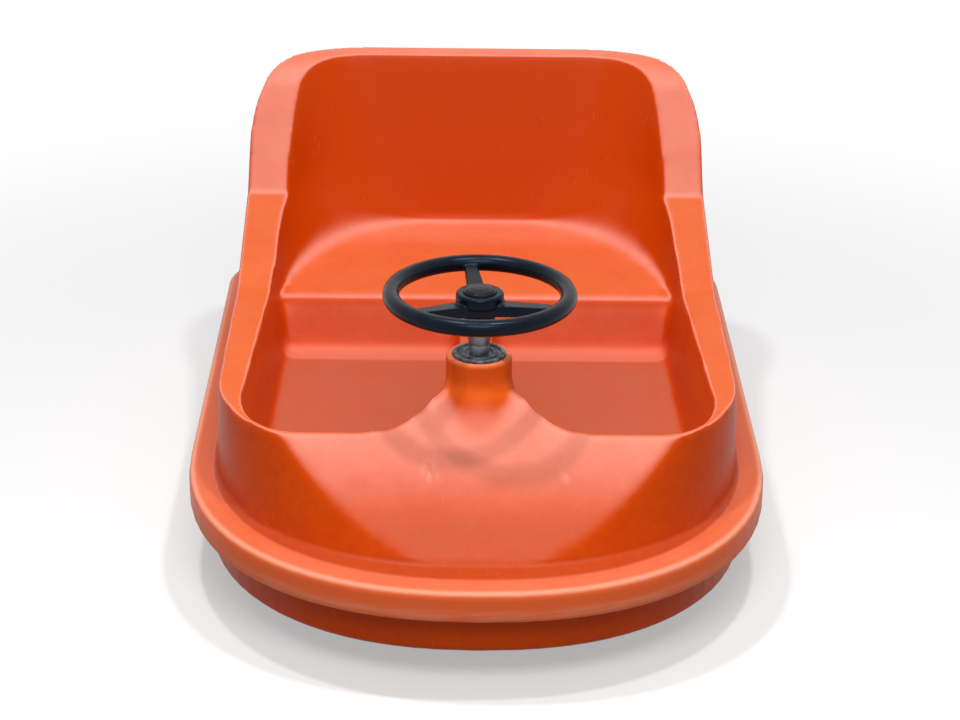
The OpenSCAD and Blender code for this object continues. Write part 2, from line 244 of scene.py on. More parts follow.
def linear(hex_colour):
    """An sRGB hex colour as linear RGBA."""
    parts = [int(hex_colour[i : i + 2], 16) / 255 for i in (1, 3, 5)]
    return [p / 12.92 if p <= 0.04045 else ((p + 0.055) / 1.055) ** 2.4 for p in parts] + [1.0]


def add(tree, kind, inputs=(), **settings):
    """Adds a node with its settings. An input takes a value, a node (its result) or a node's output."""
    n = tree.nodes.new("ShaderNode" + kind)
    for key, value in settings.items():
        setattr(n, key, value)
    for key, value in dict(inputs).items():
        if isinstance(value, bpy.types.Node):
            value = next(output for output in value.outputs if output.enabled)
        if isinstance(value, bpy.types.NodeSocket):
            tree.links.new(value, n.inputs[key])
        else:
            n.inputs[key].default_value = value
    return n


# A Map Range node's inputs 1 to 4 are the value's range and what it becomes. A colour Mix node's
# inputs are 0, the share, and 6 and 7, the colour below and the one laid over it. A texture's
# scale is 1000 divided by the size of its features in millimetres.
SMOOTH = {"interpolation_type": "SMOOTHSTEP"}
TIMES = {"operation": "MULTIPLY"}
COLOUR = {"data_type": "RGBA"}


def material(name):
    """An empty material, its node tree and the piece's own coordinates."""
    m = bpy.data.materials.new(name)
    m.use_nodes = True
    m.node_tree.nodes.clear()
    return m, m.node_tree, add(m.node_tree, "TexCoord").outputs["Object"]


def surfaced(m, **inputs):
    """Gives a material its Principled shader. An input's name is written with _ for a space."""
    named = {key.replace("_", " "): value for key, value in inputs.items()}
    shader = add(m.node_tree, "BsdfPrincipled", named)
    add(m.node_tree, "OutputMaterial", {"Surface": shader})
    return m


def dress(o, m):
    o.data.materials.clear()
    o.data.materials.append(m)


# The tub's material, layer by layer. Each layer takes the colour below it and gives the new one


def base_orange(t, place):
    """Saturated orange, in clouds of 160 mm and a mottle of 14 mm."""
    cloud = add(t, "TexNoise", {"Vector": place, "Scale": 1000 / 160, "Detail": 3})
    mottle = add(t, "TexNoise", {"Vector": place, "Scale": 1000 / 14, "Detail": 4})
    tone = add(t, "Math", {0: cloud, 1: mottle}, operation="ADD")
    tone = add(t, "MapRange", {"Value": tone, 1: 0.75, 2: 1.25, 3: 0, 4: 1}, **SMOOTH)
    return add(t, "Mix", {0: tone, 6: linear("#CB4100"), 7: linear("#D24700")}, **COLOUR)


def cabin_shade(t, colour, place, where, normal):
    """Painted shade: darker inside the cabin, where its walls face each other."""
    cabin_shaded = add(t, "MapRange", {"Value": where["Y"], 1: 50 * MM, 2: 200 * MM, 3: 0, 4: 1}, **SMOOTH)
    over = add(t, "MapRange", {"Value": where["Z"], 1: SEAT_H, 2: SEAT_H + 20 * MM, 3: 0, 4: 1}, **SMOOTH)
    cabin_shaded = add(t, "Math", {0: cabin_shaded, 1: over}, **TIMES)
    # Walls that face a point in the middle of the cabin
    outward = add(t, "Mapping", {"Vector": place, "Location": (0, -100 * MM, 0), "Scale": (1, 1, 0)})
    outward = add(t, "VectorMath", {0: outward, 1: normal}, operation="DOT_PRODUCT").outputs["Value"]
    inner = add(t, "MapRange", {"Value": outward, 1: -0.05, 2: 0, 3: 1, 4: 0}, **SMOOTH)
    cabin_shaded = add(t, "Math", {0: cabin_shaded, 1: inner}, **TIMES)
    # Painted shade on the cabin's inner walls
    return add(t, "Mix", {0: cabin_shaded, 6: colour, 7: linear("#C23E00")}, **COLOUR)


def painted_sheen(t, colour, where, across, up, patches):
    """Painted sheen: a pale veil, as the overhead light's gloss lays on what faces up: pink on slopes, more
    orange on the level seat and arms, in patches, and thinner low on the deck."""
    film = add(t, "MapRange", {"Value": up, 1: 0.53, 2: 0.8, 3: 0, 4: 0.74}, **SMOOTH)
    film = add(t, "Math", {0: film, 1: patches}, **TIMES)
    level = add(t, "MapRange", {"Value": up, 1: 0.84, 2: 0.99, 3: 0, 4: 1}, **SMOOTH)
    high = add(t, "MapRange", {"Value": where["Z"], 1: 120 * MM, 2: 200 * MM, 3: 0.7, 4: 1}, **SMOOTH)
    level = add(t, "Math", {0: level, 1: high}, **TIMES)
    arms = add(t, "MapRange", {"Value": across, 1: 265 * MM, 2: 285 * MM, 3: 0, 4: 1}, **SMOOTH)
    flat = add(t, "Mix", {0: arms, 6: linear("#F27B4C"), 7: linear("#EA6E34")}, **COLOUR)
    # Painted highlight: the seat is paler at its back, where it runs up into the backrest
    nook_highlight = add(t, "MapRange", {"Value": where["Y"], 1: 330 * MM, 2: 420 * MM, 3: 0, 4: 0.6}, **SMOOTH)
    flat = add(t, "Mix", {0: nook_highlight, 6: flat, 7: linear("#FF9A80")}, **COLOUR)
    shade = add(t, "Mix", {0: level, 6: linear("#FCA08C"), 7: flat}, **COLOUR)
    above = add(t, "MapRange", {"Value": where["Z"], 1: 180 * MM, 2: 280 * MM, 3: 0.1, 4: 1}, **SMOOTH)
    bumper = {"Value": where["Z"], 1: TOP_H + 0.5 * MM, 2: TOP_H + 3 * MM, 3: 1, 4: 0}
    below = add(t, "MapRange", bumper, **SMOOTH)
    below = add(t, "Math", {0: below, 1: 0.8}, **TIMES)
    either = add(t, "Math", {0: above, 1: below}, operation="MAXIMUM")
    film = add(t, "Math", {0: film, 1: either}, **TIMES)
    # Lays the painted sheen over the colour
    return add(t, "Mix", {0: film, 6: colour, 7: shade}, **COLOUR)


def column_painted_light(t, colour, place, height):
    """Painted sheen on the foot of the column, as on the deck, and painted light that makes its collar
    brighter orange.
    """
    apron = add(t, "Mapping", {"Vector": place, "Location": (0, 390 * MM, -262 * MM)})
    apron = add(t, "VectorMath", {0: apron}, operation="LENGTH").outputs["Value"]
    apron = add(t, "MapRange", {"Value": apron, 1: 30 * MM, 2: 65 * MM, 3: 0.3, 4: 0}, **SMOOTH)
    # Painted sheen on the column's foot
    colour = add(t, "Mix", {0: apron, 6: colour, 7: linear("#FA957B")}, **COLOUR)
    near = add(t, "Mapping", {"Vector": place, "Location": (0, -COLUMN_Y, 0), "Scale": (1, 1, 0)})
    near = add(t, "VectorMath", {0: near}, operation="LENGTH").outputs["Value"]
    near = add(t, "MapRange", {"Value": near, 1: 40 * MM, 2: 70 * MM, 3: 0.8, 4: 0}, **SMOOTH)
    tall = add(t, "MapRange", {"Value": height, 1: 295 * MM, 2: 318 * MM, 3: 0, 4: 1}, **SMOOTH)
    near = add(t, "Math", {0: near, 1: tall}, **TIMES)
    # Painted light: the collar made brighter orange
    return add(t, "Mix", {0: near, 6: colour, 7: linear("#FF6A20")}, **COLOUR)


def groove_shade(t, colour, height):
    """Painted shade in the groove where the bumper's top meets the walls and the deck."""
    start = {"Value": height, 1: TOP_H + 0.2 * MM, 2: TOP_H + 3 * MM, 3: 0, 4: 1}
    groove = add(t, "MapRange", start, **SMOOTH)
    end = {"Value": height, 1: TOP_H + 6 * MM, 2: TOP_H + 18 * MM, 3: 0.3, 4: 0}
    rise = add(t, "MapRange", end, **SMOOTH)
    groove = add(t, "Math", {0: groove, 1: rise}, **TIMES)
    # Painted shade in the groove
    return add(t, "Mix", {0: groove, 6: colour, 7: linear("#8A2C10")}, **COLOUR)


def foot_dust_and_painted_light(t, colour, where, across, facing, patches):
    """Dust that feet leave on the floors, painted light that makes the riser under the seat paler, and a
    painted highlight in the rear coves round the floors. Gives the colour, and how dusty or lit each place
    is."""
    height = where["Z"]
    # Painted light: the riser is made paler
    riser = add(t, "MapRange", {"Value": facing["Y"], 1: -0.9, 2: -0.6, 3: 0.4, 4: 0}, **SMOOTH)
    lip = {"Value": height, 1: SEAT_H - 20 * MM, 2: SEAT_H - 5 * MM, 3: 1, 4: 0}
    seat = add(t, "MapRange", lip, **SMOOTH)
    riser = add(t, "Math", {0: riser, 1: seat}, **TIMES)
    rear = add(t, "MapRange", {"Value": where["Y"], 1: 90 * MM, 2: 100 * MM, 3: 0, 4: 1}, **SMOOTH)
    riser = add(t, "Math", {0: riser, 1: rear}, **TIMES)
    riser = add(t, "Math", {0: riser, 1: patches}, **TIMES)

    floor = add(t, "MapRange", {"Value": facing["Z"], 1: 0.6, 2: 0.95, 3: 0, 4: 0.85}, **SMOOTH)
    low = add(t, "MapRange", {"Value": height, 1: 190 * MM, 2: 210 * MM, 3: 1, 4: 0}, **SMOOTH)
    floor = add(t, "Math", {0: floor, 1: low}, **TIMES)
    ground = {"Value": height, 1: FLOOR_H - 10 * MM, 2: FLOOR_H - 6 * MM, 3: 0, 4: 1}
    inside = add(t, "MapRange", ground, **SMOOTH)
    floor = add(t, "Math", {0: floor, 1: inside}, **TIMES)
    floor = add(t, "Math", {0: floor, 1: patches}, **TIMES)

    # Painted highlight along the fillet in the floors' rear coves
    bend = {"Value": height, 1: FLOOR_H + 2 * MM, 2: FLOOR_H + 33 * MM, 3: 0.45, 4: 0}
    cove = add(t, "MapRange", bend, **SMOOTH)
    cove = add(t, "Math", {0: cove, 1: rear}, **TIMES)
    cove = add(t, "Math", {0: cove, 1: inside}, **TIMES)
    between = add(t, "MapRange", {"Value": across, 1: 290 * MM, 2: 300 * MM, 3: 1, 4: 0}, **SMOOTH)
    cove = add(t, "Math", {0: cove, 1: between}, **TIMES)
    before = add(t, "MapRange", {"Value": where["Y"], 1: 200 * MM, 2: 210 * MM, 3: 1, 4: 0}, **SMOOTH)
    cove = add(t, "Math", {0: cove, 1: before}, **TIMES)

    colour = add(t, "Mix", {0: floor, 6: colour, 7: linear("#BA6148")}, **COLOUR)
    # Painted light on the riser and in the coves, laid over the floors' dust
    dust = add(t, "Math", {0: riser, 1: cove}, operation="MAXIMUM")
    colour = add(t, "Mix", {0: dust, 6: colour, 7: linear("#F4896E")}, **COLOUR)
    return colour, add(t, "Math", {0: dust, 1: floor}, operation="MAXIMUM")


def bumper_band(t, colour, place, height):
    """The bumper's band: paler all round by painted light, with streaks 45 mm long and 4 mm high along its
    lower half, and a painted highlight along its upper edge. Gives the colour, and how streaked each place
    is."""
    start = {"Value": height, 1: BAND_H - 3 * MM, 2: BAND_H + 3 * MM, 3: 0, 4: 1}
    foot = add(t, "MapRange", start, **SMOOTH)
    head = add(t, "MapRange", {"Value": height, 1: TOP_H - 8 * MM, 2: TOP_H, 3: 1, 4: 0}, **SMOOTH)
    band = add(t, "Math", {0: foot, 1: head}, **TIMES)
    # Painted light: the band made paler all round
    pale = add(t, "Math", {0: band, 1: 0.75}, **TIMES)
    colour = add(t, "Mix", {0: pale, 6: colour, 7: linear("#FF7440")}, **COLOUR)

    streaks = add(t, "Mapping", {"Vector": place, "Scale": (1000 / 45, 1000 / 45, 1000 / 4)})
    streaks = add(t, "TexNoise", {"Vector": streaks, "Scale": 1, "Detail": 5})
    streaks = add(t, "MapRange", {"Value": streaks, 1: 0.3, 2: 0.7, 3: 0.1, 4: 0.75}, **SMOOTH)
    half = add(t, "MapRange", {"Value": height, 1: 121 * MM, 2: 130 * MM, 3: 1, 4: 0}, **SMOOTH)
    rubs = add(t, "Math", {0: band, 1: half}, **TIMES)
    rubs = add(t, "Math", {0: rubs, 1: streaks}, **TIMES)
    colour = add(t, "Mix", {0: rubs, 6: colour, 7: linear("#EE8C6C")}, **COLOUR)

    # Painted highlight along the band's upper edge
    edge = {"Value": height, 1: TOP_H - 6.5 * MM, 2: TOP_H - 3 * MM, 3: 0, 4: 0.5}
    brow_highlight = add(t, "MapRange", edge, **SMOOTH)
    end = {"Value": height, 1: TOP_H - 0.8 * MM, 2: TOP_H + 0.2 * MM, 3: 1, 4: 0}
    under = add(t, "MapRange", end, **SMOOTH)
    brow_highlight = add(t, "Math", {0: brow_highlight, 1: under}, **TIMES)
    return add(t, "Mix", {0: brow_highlight, 6: colour, 7: linear("#FFB492")}, **COLOUR), rubs


def scratched(t, colour, place):
    """Scratches 20 mm long. Real ones are 0.2 mm wide: these are drawn five times that to show."""
    lines = {"Vector": place, "Rotation": (0.2, 0.1, 0.9), "Scale": (1000, 1000 / 20, 1000 / 20)}
    hair = add(t, "Mapping", lines)
    hair = add(t, "TexNoise", {"Vector": hair, "Scale": 1, "Detail": 1})
    hair = add(t, "MapRange", {"Value": hair, 1: 0.7, 2: 0.76, 3: 0, 4: 0.18}, **SMOOTH)
    sparse = add(t, "TexNoise", {"Vector": place, "Scale": 1000 / 45, "Detail": 3})
    sparse = add(t, "MapRange", {"Value": sparse, 1: 0.52, 2: 0.66, 3: 0, 4: 1}, **SMOOTH)
    scratches = add(t, "Math", {0: hair, 1: sparse}, **TIMES)
    return add(t, "Mix", {0: scratches, 6: colour, 7: linear("#FFC0A8")}, **COLOUR)


# Pale smears: centre and half size, in millimetres. Two on the deck, three on the backrest
SMEARS = (
    ((-62, -424, 240), (17, 22, 40)),
    ((110, -424, 240), (13, 20, 40)),
    ((-255, 460, 284), (6, 40, 7)),
    ((-236, 460, 297), (9, 40, 5)),
    ((-214, 460, 306), (6, 40, 7)),
)


def smeared(t, colour, place):
    """The pale smears, each broken up by a drawn-out noise."""
    drag = add(t, "Mapping", {"Vector": place, "Scale": (1000 / 8, 1000 / 30, 1000 / 14)})
    drag = add(t, "TexNoise", {"Vector": drag, "Scale": 1, "Detail": 4})
    drag = add(t, "MapRange", {"Value": drag, 1: 0.42, 2: 0.66, 3: 0, 4: 1}, **SMOOTH)
    for centre, size in SMEARS:
        scale = [1000 / half for half in size]
        shift = [-c / half for c, half in zip(centre, size)]
        smear = add(t, "Mapping", {"Vector": place, "Scale": scale, "Location": shift})
        smear = add(t, "VectorMath", {0: smear}, operation="LENGTH").outputs["Value"]
        smear = add(t, "MapRange", {"Value": smear, 1: 0.2, 2: 1, 3: 0.2, 4: 0}, **SMOOTH)
        smear = add(t, "Math", {0: smear, 1: drag}, **TIMES)
        colour = add(t, "Mix", {0: smear, 6: colour, 7: linear("#FFC4B4")}, **COLOUR)
    return colour


def moulded_polyethylene():
    """Polyethylene, rotationally moulded: satin, saturated orange, faintly wavy like orange peel.
    A painted sheen lies pale where it faces up, with painted shade and painted highlights in places; there
    is dust in the footwells, painted light on the riser, long scuffs along the bumper's band, and a few
    fine scratches."""
    m, t, place = material("moulded_polyethylene")
    where = add(t, "SeparateXYZ", {0: place}).outputs
    height = where["Z"]
    across = add(t, "Math", {0: where["X"]}, operation="ABSOLUTE")
    geometry = add(t, "NewGeometry").outputs
    facing = add(t, "SeparateXYZ", {0: geometry["Normal"]}).outputs
    patches = add(t, "TexNoise", {"Vector": place, "Scale": 1000 / 60, "Detail": 8, "Roughness": 0.66})
    patches = add(t, "MapRange", {"Value": patches, 1: 0.3, 2: 0.7, 3: 0.8, 4: 1}, **SMOOTH)

    colour = base_orange(t, place)
    colour = cabin_shade(t, colour, place, where, geometry["Normal"])
    colour = painted_sheen(t, colour, where, across, facing["Z"], patches)
    colour = column_painted_light(t, colour, place, height)
    colour = groove_shade(t, colour, height)
    colour, dust = foot_dust_and_painted_light(t, colour, where, across, facing, patches)
    colour, rubs = bumper_band(t, colour, place, height)
    colour = scratched(t, colour, place)
    colour = smeared(t, colour, place)
    # Painted highlights: outer edges are made pale
    edges = add(t, "MapRange", {"Value": geometry["Pointiness"], 1: 0.515, 2: 0.56, 3: 0, 4: 0.5}, **SMOOTH)
    colour = add(t, "Mix", {0: edges, 6: colour, 7: linear("#FFA88C")}, **COLOUR)

    worn = add(t, "Math", {0: rubs, 1: dust}, operation="ADD")
    rough = add(t, "MapRange", {"Value": worn, 1: 0, 2: 1, 3: 0.4, 4: 0.65})
    waves = add(t, "TexNoise", {"Vector": place, "Scale": 1000 / 70, "Detail": 2})
    waves = add(t, "Bump", {"Height": waves, "Strength": 1, "Distance": 1.0 * MM})
    peel = add(t, "TexNoise", {"Vector": place, "Scale": 1000 / 5, "Detail": 2})
    peel = add(t, "Bump", {"Height": peel, "Strength": 1, "Distance": 0.12 * MM, "Normal": waves})
    return surfaced(m, Base_Color=colour, Roughness=rough, Specular_IOR_Level=0.1, Normal=peel)


# The other materials


def moulded_polypropylene():
    """Polypropylene, injection-moulded in a grained tool: blue-black, with broad soft highlights."""
    m, t, place = material("moulded_polypropylene")
    wear = add(t, "TexNoise", {"Vector": place, "Scale": 1000 / 25, "Detail": 4})
    wear = add(t, "MapRange", {"Value": wear, 1: 0.3, 2: 0.7, 3: 0, 4: 1}, **SMOOTH)
    colour = add(t, "Mix", {0: wear, 6: linear("#06090F"), 7: linear("#0B0F15")}, **COLOUR)
    rough = add(t, "MapRange", {"Value": wear, 1: 0, 2: 1, 3: 0.24, 4: 0.34})
    grain = add(t, "TexNoise", {"Vector": place, "Scale": 1000 / 1.2, "Detail": 2})
    grain = add(t, "Bump", {"Height": grain, "Strength": 1, "Distance": 0.04 * MM})
    shine = {"Specular_IOR_Level": 0.22, "Specular_Tint": linear("#A8C4EE")}
    return surfaced(m, Base_Color=colour, Roughness=rough, Normal=grain, **shine)


def nitrile_rubber():
    """Nitrile rubber, moulded: dull black with a film of dust."""
    m, t, place = material("nitrile_rubber")
    film = add(t, "TexNoise", {"Vector": place, "Scale": 1000 / 9, "Detail": 4})
    film = add(t, "MapRange", {"Value": film, 1: 0.35, 2: 0.7, 3: 0, 4: 0.6}, **SMOOTH)
    colour = add(t, "Mix", {0: film, 6: linear("#2A2E33"), 7: linear("#8A97A1")}, **COLOUR)
    pores = add(t, "TexNoise", {"Vector": place, "Scale": 1000 / 1.0, "Detail": 2})
    pores = add(t, "Bump", {"Height": pores, "Strength": 1, "Distance": 0.03 * MM})
    return surfaced(m, Base_Color=colour, Roughness=0.5, Normal=pores)


def ground_steel():
    """Steel bar, ground and oiled, now dull: grey, with fine rings 0.9 mm apart round it."""
    m, t, place = material("ground_steel")
    rings = add(t, "Mapping", {"Vector": place, "Scale": (1000 / 36, 1000 / 36, 1000 / 0.9)})
    rings = add(t, "TexNoise", {"Vector": rings, "Scale": 1, "Detail": 2})
    share = add(t, "MapRange", {"Value": rings, 1: 0.3, 2: 0.7, 3: 0, 4: 1}, **SMOOTH)
    colour = add(t, "Mix", {0: share, 6: linear("#747B82"), 7: linear("#8E959C")}, **COLOUR)
    oil = add(t, "TexNoise", {"Vector": place, "Scale": 1000 / 12, "Detail": 3})
    oil = add(t, "MapRange", {"Value": oil, 1: 0.3, 2: 0.7, 3: 0.34, 4: 0.5}, **SMOOTH)
    grooves = add(t, "Bump", {"Height": rings, "Strength": 1, "Distance": 0.01 * MM})
    return surfaced(m, Base_Color=colour, Roughness=oil, Metallic=1.0, Normal=grooves)


def zinc_plated_steel():
    """Steel plate, cut, welded and zinc-plated: light grey with faint spangle and road grime."""
    m, t, place = material("zinc_plated_steel")
    spangle = add(t, "TexNoise", {"Vector": place, "Scale": 1000 / 8, "Detail": 1})
    spangle = add(t, "MapRange", {"Value": spangle, 1: 0.4, 2: 0.6, 3: 0, 4: 1}, **SMOOTH)
    colour = add(t, "Mix", {0: spangle, 6: linear("#A9ADB0"), 7: linear("#BFC2C4")}, **COLOUR)
    grime = add(t, "TexNoise", {"Vector": place, "Scale": 1000 / 40, "Detail": 5})
    grime = add(t, "MapRange", {"Value": grime, 1: 0.45, 2: 0.7, 3: 0, 4: 0.6}, **SMOOTH)
    colour = add(t, "Mix", {0: grime, 6: colour, 7: linear("#6B6259")}, **COLOUR)
    rough = add(t, "MapRange", {"Value": grime, 1: 0, 2: 0.6, 3: 0.32, 4: 0.65})
    metal = add(t, "MapRange", {"Value": grime, 1: 0, 2: 0.6, 3: 1, 4: 0.4})
    pits = add(t, "TexNoise", {"Vector": place, "Scale": 1000 / 3, "Detail": 3})
    pits = add(t, "Bump", {"Height": pits, "Strength": 1, "Distance": 0.02 * MM})
    return surfaced(m, Base_Color=colour, Roughness=rough, Metallic=metal, Normal=pits)


def tyre_rubber():
    """Black rubber, vulcanised in a mould: matt, grey with floor dust."""
    m, t, place = material("tyre_rubber")
    dust = add(t, "TexNoise", {"Vector": place, "Scale": 1000 / 12, "Detail": 5})
    dust = add(t, "MapRange", {"Value": dust, 1: 0.35, 2: 0.7, 3: 0.1, 4: 0.75}, **SMOOTH)
    colour = add(t, "Mix", {0: dust, 6: linear("#18181A"), 7: linear("#46423E")}, **COLOUR)
    grit = add(t, "TexNoise", {"Vector": place, "Scale": 1000 / 1.5, "Detail": 3})
    grit = add(t, "Bump", {"Height": grit, "Strength": 1, "Distance": 0.06 * MM})
    return surfaced(m, Base_Color=colour, Roughness=0.78, Normal=grit)


def nylon():
    """Nylon, injection-moulded: off-white, slightly waxy, soiled in patches."""
    m, t, place = material("nylon")
    soil = add(t, "TexNoise", {"Vector": place, "Scale": 1000 / 18, "Detail": 5})
    soil = add(t, "MapRange", {"Value": soil, 1: 0.45, 2: 0.75, 3: 0, 4: 0.6}, **SMOOTH)
    colour = add(t, "Mix", {0: soil, 6: linear("#CFCDC4"), 7: linear("#8C857A")}, **COLOUR)
    rough = add(t, "MapRange", {"Value": soil, 1: 0, 2: 0.6, 3: 0.4, 4: 0.65})
    marks = add(t, "TexNoise", {"Vector": place, "Scale": 1000 / 2, "Detail": 2})
    marks = add(t, "Bump", {"Height": marks, "Strength": 1, "Distance": 0.02 * MM})
    return surfaced(m, Base_Color=colour, Roughness=rough, Normal=marks)


TUB = moulded_polyethylene()
BLACK = moulded_polypropylene()
SEAL = nitrile_rubber()
STEEL = ground_steel()
ZINC = zinc_plated_steel()
RUBBER = tyre_rubber()
NYLON = nylon()

# The tub. Each test below picks the points that one round of smoothing moves

# The height of the deck's plane where Y is 0, and how much it rises to the rear
DECK_H = 597 * MM
DECK_RISE = 0.864
COLUMN_FRONT = Vector((0, -385 * MM, 280 * MM))


def on_walls(p, n):
    """Walls over the bumper, up to the deck's own edge, and those low in the cabin's corners."""
    under_deck = p.y > -300 * MM or p.z < DECK_H + DECK_RISE * p.y
    steepest = 0.62 if p.y > 100 * MM and p.z > 262 * MM else 0.3
    return p.z > 170 * MM and under_deck and -0.3 < n.z < steepest


def round_the_seat(p, n):
    """Where the seat runs into the side walls and the backrest."""
    return abs(p.x) < 310 * MM and p.y > 180 * MM and 250 * MM < p.z < 290 * MM and n.z > -0.1


def before_the_column(p, n):
    """The deck's run-in to the column."""
    return p.z > 200 * MM and p.y < -360 * MM and (p - COLUMN_FRONT).length < 60 * MM


def on_the_nose(p, n):
    """The deck and its edges over the footwells."""
    return p.y < -300 * MM and 165 * MM < p.z < 330 * MM


def round_the_floors(p, n):
    """The cove round the footwells' floors."""
    in_cabin = abs(p.x) < 300 * MM and -420 * MM < p.y < 145 * MM
    return in_cabin and 158 * MM < p.z < 195 * MM and n.z > -0.1


def on_rims(p, n):
    """The rims of all openings, but not the column."""
    return p.z > 190 * MM and -0.5 < n.z < 0.97 and (abs(p.x) > 60 * MM or p.y > -200 * MM)


tub = rounded(merged_copy("tub", "tub_shell"), 2.8 * MM)
PASSES = 40
evened(tub, PASSES, on_walls)
evened(tub, PASSES // 2, round_the_seat)
evened(tub, PASSES, before_the_column)
evened(tub, PASSES // 4, on_the_nose)
evened(tub, PASSES // 2, round_the_floors)
evened(tub, 8, on_rims)
thinned(tub, TUB_TRIANGLES)
# No point may lie outside the CAD's own box
for v in tub.data.vertices:
    v.co = [min(max(c, low), high) for c, low, high in zip(v.co, *CAD_BOX)]
dress(tub, TUB)
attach(tub, "car")
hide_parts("tub")

grip = rounded(merged_copy("handwheel", "handwheel_moulding"), 1.3 * MM)
thinned(grip, GRIP_TRIANGLES)
dress(grip, BLACK)
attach(grip, "steering")
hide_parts("handwheel")

# The road wheels. Sections are in millimetres: radius, distance from the wheel's middle

# A tyre's, from its bead to its middle. Two grooves run round the tread
TREAD = [(39, -14), (41, -15.5), (46, -17.6), (49, -18), (53, -15), (54.6, -12), (55, -9)]
TREAD += [(55, -6), (53.4, -5.6), (53.4, -4), (55, -3.6)]
tyre_rows = in_mm(TREAD + [(r, -x) for r, x in reversed(TREAD)] + TREAD[:1])
# A rim's, from its bore to its outer edge
RIM = [(6.1, 25), (7, 25.4), (13, 25.4), (14, 24.6), (14.6, 11), (16, 10), (31, 10), (33, 11)]
RIM += [(33.6, 14.6), (34.6, 15.4), (38, 15.4), (39, 14.6)]
rim_rows = in_mm([(r, -x) for r, x in RIM] + RIM[::-1] + [(RIM[0][0], -RIM[0][1])])

WEBS = 6
first_tyre = turned("tyre_start", tyre_rows, 72)
first_rim = turned("rim_start", rim_rows, 64)
webs = []
for side in (-1, 1):
    for i in range(WEBS):
        web = block("web", (20 * MM, 4 * MM, 5 * MM), (23.4 * MM, 0, side * 12 * MM), bevel=0.7 * MM)
        webs.append(laid(web, turn=(0, 0, math.radians(360 / WEBS * i))))
first_rim = joined("rim_start", first_rim, *webs)

for which, body, x, y in (
    ("front", "front_wheel", 0, COLUMN_Y),
    ("rear_left", "rear_wheel_left", -REAR_X, REAR_Y),
    ("rear_right", "rear_wheel_right", REAR_X, REAR_Y),
):
    stem, side = (which.split("_") + [""])[:2]
    suffix = "_" + side if side else ""
    tyre = copied(first_tyre, which + "_tread", (x, y, ROAD_R), ALONG_X)
    rim = copied(first_rim, which + "_wheel_disc", (x, y, ROAD_R), ALONG_X)
    for piece, m, node in ((tyre, RUBBER, stem + "_tyre" + suffix), (rim, NYLON, stem + "_rim" + suffix)):
        dress(piece, m)
        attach(piece, body)
        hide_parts(node)

# The axles


def washer(bore, radius, thick, low, steps):
    """A flat ring that stands on the height low. bore is its hole's radius."""
    rows = [(bore, low), (bore, low + thick), (radius, low + thick), (radius, low), (bore, low)]
    return turned("washer", rows, steps)


# A bolt with a head and a washer at one end, a locking nut and a washer at the other
shank = turned("shank", [(AXLE_R - MM, -36.5 * MM), (AXLE_R, -35.5 * MM), (AXLE_R, 33 * MM)], 32)
head = hexagon("head", across=19 * MM, height=5.4 * MM, base=32.6 * MM)
nut = laid(hexagon("nut", across=19 * MM, height=5.6 * MM, base=-1.4 * MM), (0, 0, -32.6 * MM), OVER)
collar = turned("nut_collar", in_mm([(8.6, -33), (8.4, -36), (7.4, -37), (6.2, -37.2)]), 32)
WASHER_T = 1.5 * MM
washers = [
    washer(6.2 * MM, 10.6 * MM, WASHER_T, low, 32) for low in (HALF_FORK, -HALF_FORK - WASHER_T)
]
first_axle = joined("axle_start", shank, head, nut, collar, *washers)
for node, body, x, y in (
    ("front_axle", "steering", 0, COLUMN_Y),
    ("rear_axle_left", "car", -REAR_X, REAR_Y),
    ("rear_axle_right", "car", REAR_X, REAR_Y),
):
    bolt = copied(first_axle, node + "_bolt", (x, y, ROAD_R), ALONG_X)
    dress(bolt, ZINC)
    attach(bolt, body)
    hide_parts(node)

for start in (first_tyre, first_rim, first_axle):
    bpy.data.objects.remove(start)

# The plates, the fork and their fixings


def plate_bolts(name, x, y, z, reach):
    """Four hexagon bolts with washers under a plate's corners, reach from its middle each way."""
    pieces = []
    for i in (-1, 1):
        for j in (-1, 1):
            ring = washer(4.2 * MM, 8 * MM, 1.4 * MM, 0, 24)
            bolt = hexagon("head", across=13 * MM, height=5.3 * MM, base=1.3 * MM)
            # Each bolt's head stands at its own angle
            turn = (OVER[0], 0, math.radians(20 * i + 35 * j))
            pieces += [laid(p, (x + i * reach, y + j * reach, z), turn) for p in (ring, bolt)]
    return joined(name, *pieces)


for node, bolts, x, y, z, reach in (
    ("column_plate", "column_plate_bolts", 0, COLUMN_Y, CEILING - PLATE_T, 60 * MM),
    ("rear_bracket_left", "left_bracket_bolts", -REAR_X, REAR_Y, CEILING - PLATE_T, 35 * MM),
    ("rear_bracket_right", "right_bracket_bolts", REAR_X, REAR_Y, CEILING - PLATE_T, 35 * MM),
):
    plate = merged_copy(node, node + "_steel")
    bevelled(plate, 0.8 * MM)
    fixings = plate_bolts(bolts, x, y, z, reach)
    for piece in (plate, fixings):
        dress(piece, ZINC)
        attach(piece, "car")
    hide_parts(node)

fork = merged_copy("steering_fork", "steering_fork_steel")
# Its flat faces are made whole, or the bevel would leave slivers across them
modify(fork, "DECIMATE", decimate_type="DISSOLVE", angle_limit=math.radians(1))
bevelled(fork, 0.8 * MM)
WELD_IN = SHAFT_R * 0.97
weld_rows = [(WELD_IN, 0), (SHAFT_R + 4 * MM, 0), (SHAFT_R + 3.4 * MM, 2 * MM)]
weld_rows += [(SHAFT_R + MM, 4 * MM), (WELD_IN, 4.4 * MM), (WELD_IN, 0)]
weld = laid(turned("weld", weld_rows), (0, COLUMN_Y, FORK_TOP))
fork = joined("steering_fork_steel", fork, weld)
dress(fork, ZINC)
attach(fork, "steering")
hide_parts("steering_fork")

for node, m in (
    ("hub_cap", BLACK),
    ("bearing_housing", SEAL),
    ("bearing_ring", SEAL),
    ("steering_shaft", STEEL),
):
    dress(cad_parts[node], m)

# Floor, light and camera


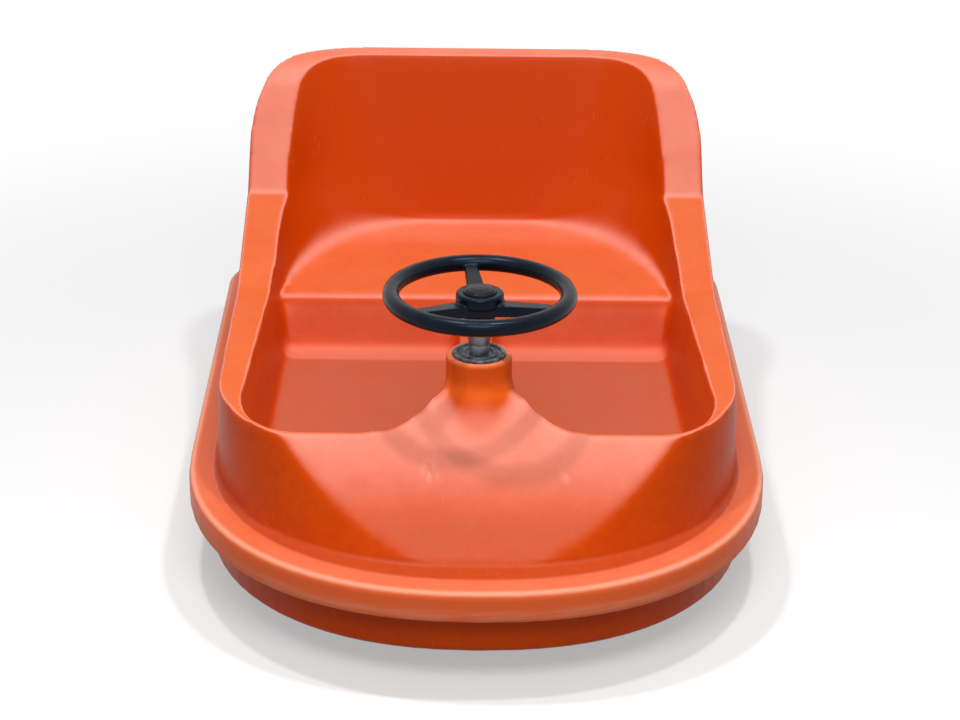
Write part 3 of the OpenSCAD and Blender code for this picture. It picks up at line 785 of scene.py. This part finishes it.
def for_the_eye(tree, low, high):
    """The low value for light that bounces, the high one for the camera, mirrors and glass."""
    path = add(tree, "LightPath").outputs
    seen = add(tree, "Math", {0: path["Is Camera Ray"], 1: path["Is Glossy Ray"]}, operation="MAXIMUM")
    seen = add(tree, "Math", {0: seen, 1: path["Is Transmission Ray"]}, operation="MAXIMUM")
    return add(tree, "MapRange", {"Value": seen, 3: low, 4: high})


# A white floor for the eye. It keeps the shadow, and gives way to plain white further out
bpy.ops.object.select_all(action="DESELECT")
bpy.ops.mesh.primitive_plane_add(size=30.0, location=(0, 0, -0.5 * MM))
floor = started("studio_floor")
paint, t, place = material("matt_floor")
matt = add(t, "BsdfDiffuse", {"Color": for_the_eye(t, 0.25, 0.95)})
glow = add(t, "Emission", {"Strength": for_the_eye(t, 0, 1)})
away = add(t, "VectorMath", {0: place}, operation="LENGTH").outputs["Value"]
away = add(t, "MapRange", {"Value": away, 1: 0.7, 2: 2.0, 3: 0.4, 4: 1}, **SMOOTH)
share = add(t, "Math", {0: away, 1: for_the_eye(t, 0, 1)}, **TIMES)
add(t, "OutputMaterial", {"Surface": add(t, "MixShader", {0: share, 1: matt, 2: glow})})
dress(floor, paint)

world = bpy.data.worlds.new("studio")
bpy.context.scene.world = world
world.use_nodes = True
t = world.node_tree
t.nodes.clear()
sky = add(t, "Background", {"Color": (1, 1, 1, 1), "Strength": for_the_eye(t, 0.3, 1)})
add(t, "OutputWorld", {"Surface": sky})


def lamp(name, place, aim, size, watts):
    data = bpy.data.lights.new(name, "AREA")
    data.shape, data.size, data.energy = "DISK", size, watts
    o = bpy.data.objects.new(name, data)
    bpy.context.scene.collection.objects.link(o)
    o.location = place
    o.rotation_euler = (Vector(aim) - Vector(place)).to_track_quat("-Z", "Y").to_euler()


# Two small lamps overhead throw the handwheel's two shadows on the deck
DECK = (0, -0.4, 0.3)
lamp("right_overhead_lamp", (0.55, -0.6, 3.3), DECK, size=0.22, watts=32)
lamp("left_overhead_lamp", (-0.66, -0.34, 3.3), DECK, size=0.22, watts=32)
lamp("front_softbox", (0, -2.4, 2.6), (0, 0, 0.3), size=1.4, watts=44)

# The camera's place and directions, fitted to the photo
EYE = Vector((-0.0393, -3.3546, 1.6494))
FORWARD = Vector((0.01226, 0.91927, -0.39343))
RIGHT = Vector((0.99989, -0.0079, 0.0127))
camera = bpy.data.objects.new("camera", bpy.data.cameras.new("camera"))
bpy.context.scene.collection.objects.link(camera)
camera.data.lens, camera.data.sensor_width = 96.0, 36.0
axes = Matrix((RIGHT, RIGHT.cross(FORWARD), -FORWARD)).transposed().to_4x4()
camera.matrix_world = Matrix.Translation(EYE) @ axes
bpy.context.scene.camera = camera
bpy.context.scene.view_settings.view_transform = "Standard"
